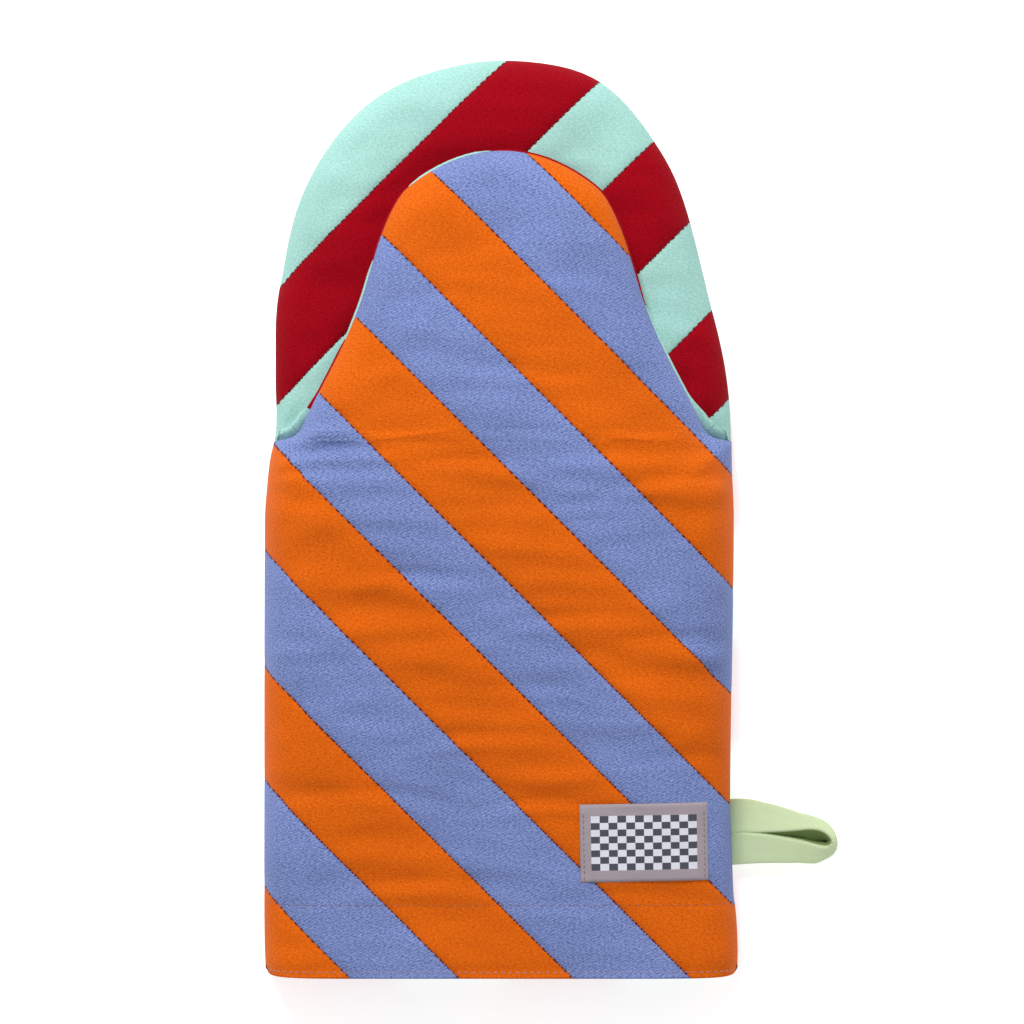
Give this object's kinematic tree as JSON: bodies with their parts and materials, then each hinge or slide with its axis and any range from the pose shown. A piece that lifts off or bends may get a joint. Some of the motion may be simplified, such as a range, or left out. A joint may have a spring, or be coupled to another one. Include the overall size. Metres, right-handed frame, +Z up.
{
  "type": "oven mitt",
  "caption": "Padded, lined oven mitt of the wide-thumb kind, pieced from diagonal strips, lying on its back with a hanging loop.",
  "frame": {"origin": "centre of the mitt's length and width on the flat back it rests on", "axes": "+X across the hand towards the hanging loop, +Y from the cuff to the fingertips, +Z up from the back of the hand to the thumb side"},
  "size_m": [0.2034, 0.325, 0.045],
  "materials": {
    "shell_orange": "cotton twill",
    "shell_blue": "cotton twill",
    "shell_mint": "fine cotton twill",
    "shell_crimson": "fine cotton twill",
    "wadding": "needled cotton and polyester wadding",
    "lining": "plain woven cotton",
    "hem_front": "cotton twill, the shell turned inside",
    "hem_back": "cotton twill, the shell turned inside",
    "loop_tape": "woven cotton tape",
    "label": "damask woven label"
  },
  "bodies": {
    "hand": {"back_lining": "lining", "back_strip_01": "shell_crimson", "back_strip_02": "shell_mint", "back_strip_03": "shell_crimson", "back_strip_04": "shell_mint", "back_strip_05": "shell_crimson", "back_strip_06": "shell_mint", "back_strip_07": "shell_crimson", "back_strip_08": "shell_mint", "back_strip_09": "shell_crimson", "back_strip_10": "shell_mint", "back_strip_11": "shell_crimson", "back_wadding": "wadding", "finger_front_lining": "lining", "finger_front_strip_01": "shell_mint", "finger_front_strip_02": "shell_crimson", "finger_front_strip_03": "shell_mint", "finger_front_strip_04": "shell_crimson", "finger_front_strip_05": "shell_mint", "finger_front_strip_06": "shell_crimson", "finger_front_strip_07": "shell_mint", "finger_front_wadding": "wadding", "hem_back": "hem_back", "hem_front": "hem_front", "label": "label", "palm_lining": "lining", "palm_strip_01": "shell_orange", "palm_strip_02": "shell_blue", "palm_strip_03": "shell_orange", "palm_strip_04": "shell_blue", "palm_strip_05": "shell_orange", "palm_strip_06": "shell_blue", "palm_strip_07": "shell_orange", "palm_strip_08": "shell_blue", "palm_strip_09": "shell_orange", "palm_wadding": "wadding"},
    "thumb": {"thumb_back_lining": "lining", "thumb_back_strip_01": "shell_mint", "thumb_back_strip_02": "shell_crimson", "thumb_back_strip_03": "shell_mint", "thumb_back_strip_04": "shell_crimson", "thumb_back_strip_05": "shell_mint", "thumb_back_strip_06": "shell_crimson", "thumb_back_wadding": "wadding", "thumb_front_lining": "lining", "thumb_front_strip_01": "shell_blue", "thumb_front_strip_02": "shell_orange", "thumb_front_strip_03": "shell_blue", "thumb_front_strip_04": "shell_orange", "thumb_front_strip_05": "shell_blue", "thumb_front_strip_06": "shell_orange", "thumb_front_wadding": "wadding"},
    "hang_loop": {"hanging_loop": "loop_tape"}
  },
  "joints": [
    {"name": "thumb_open", "type": "hinge", "parent": "hand", "child": "thumb", "pos_m": [0, 0.0204, 0.0445], "axis": [1, 0, 0], "range_deg": [0, 60]},
    {"name": "loop_swing", "type": "hinge", "parent": "hand", "child": "hang_loop", "pos_m": [0.0832, -0.1125, 0.007], "axis": [0, -1, 0], "range_deg": [0, 75]}
  ]
}
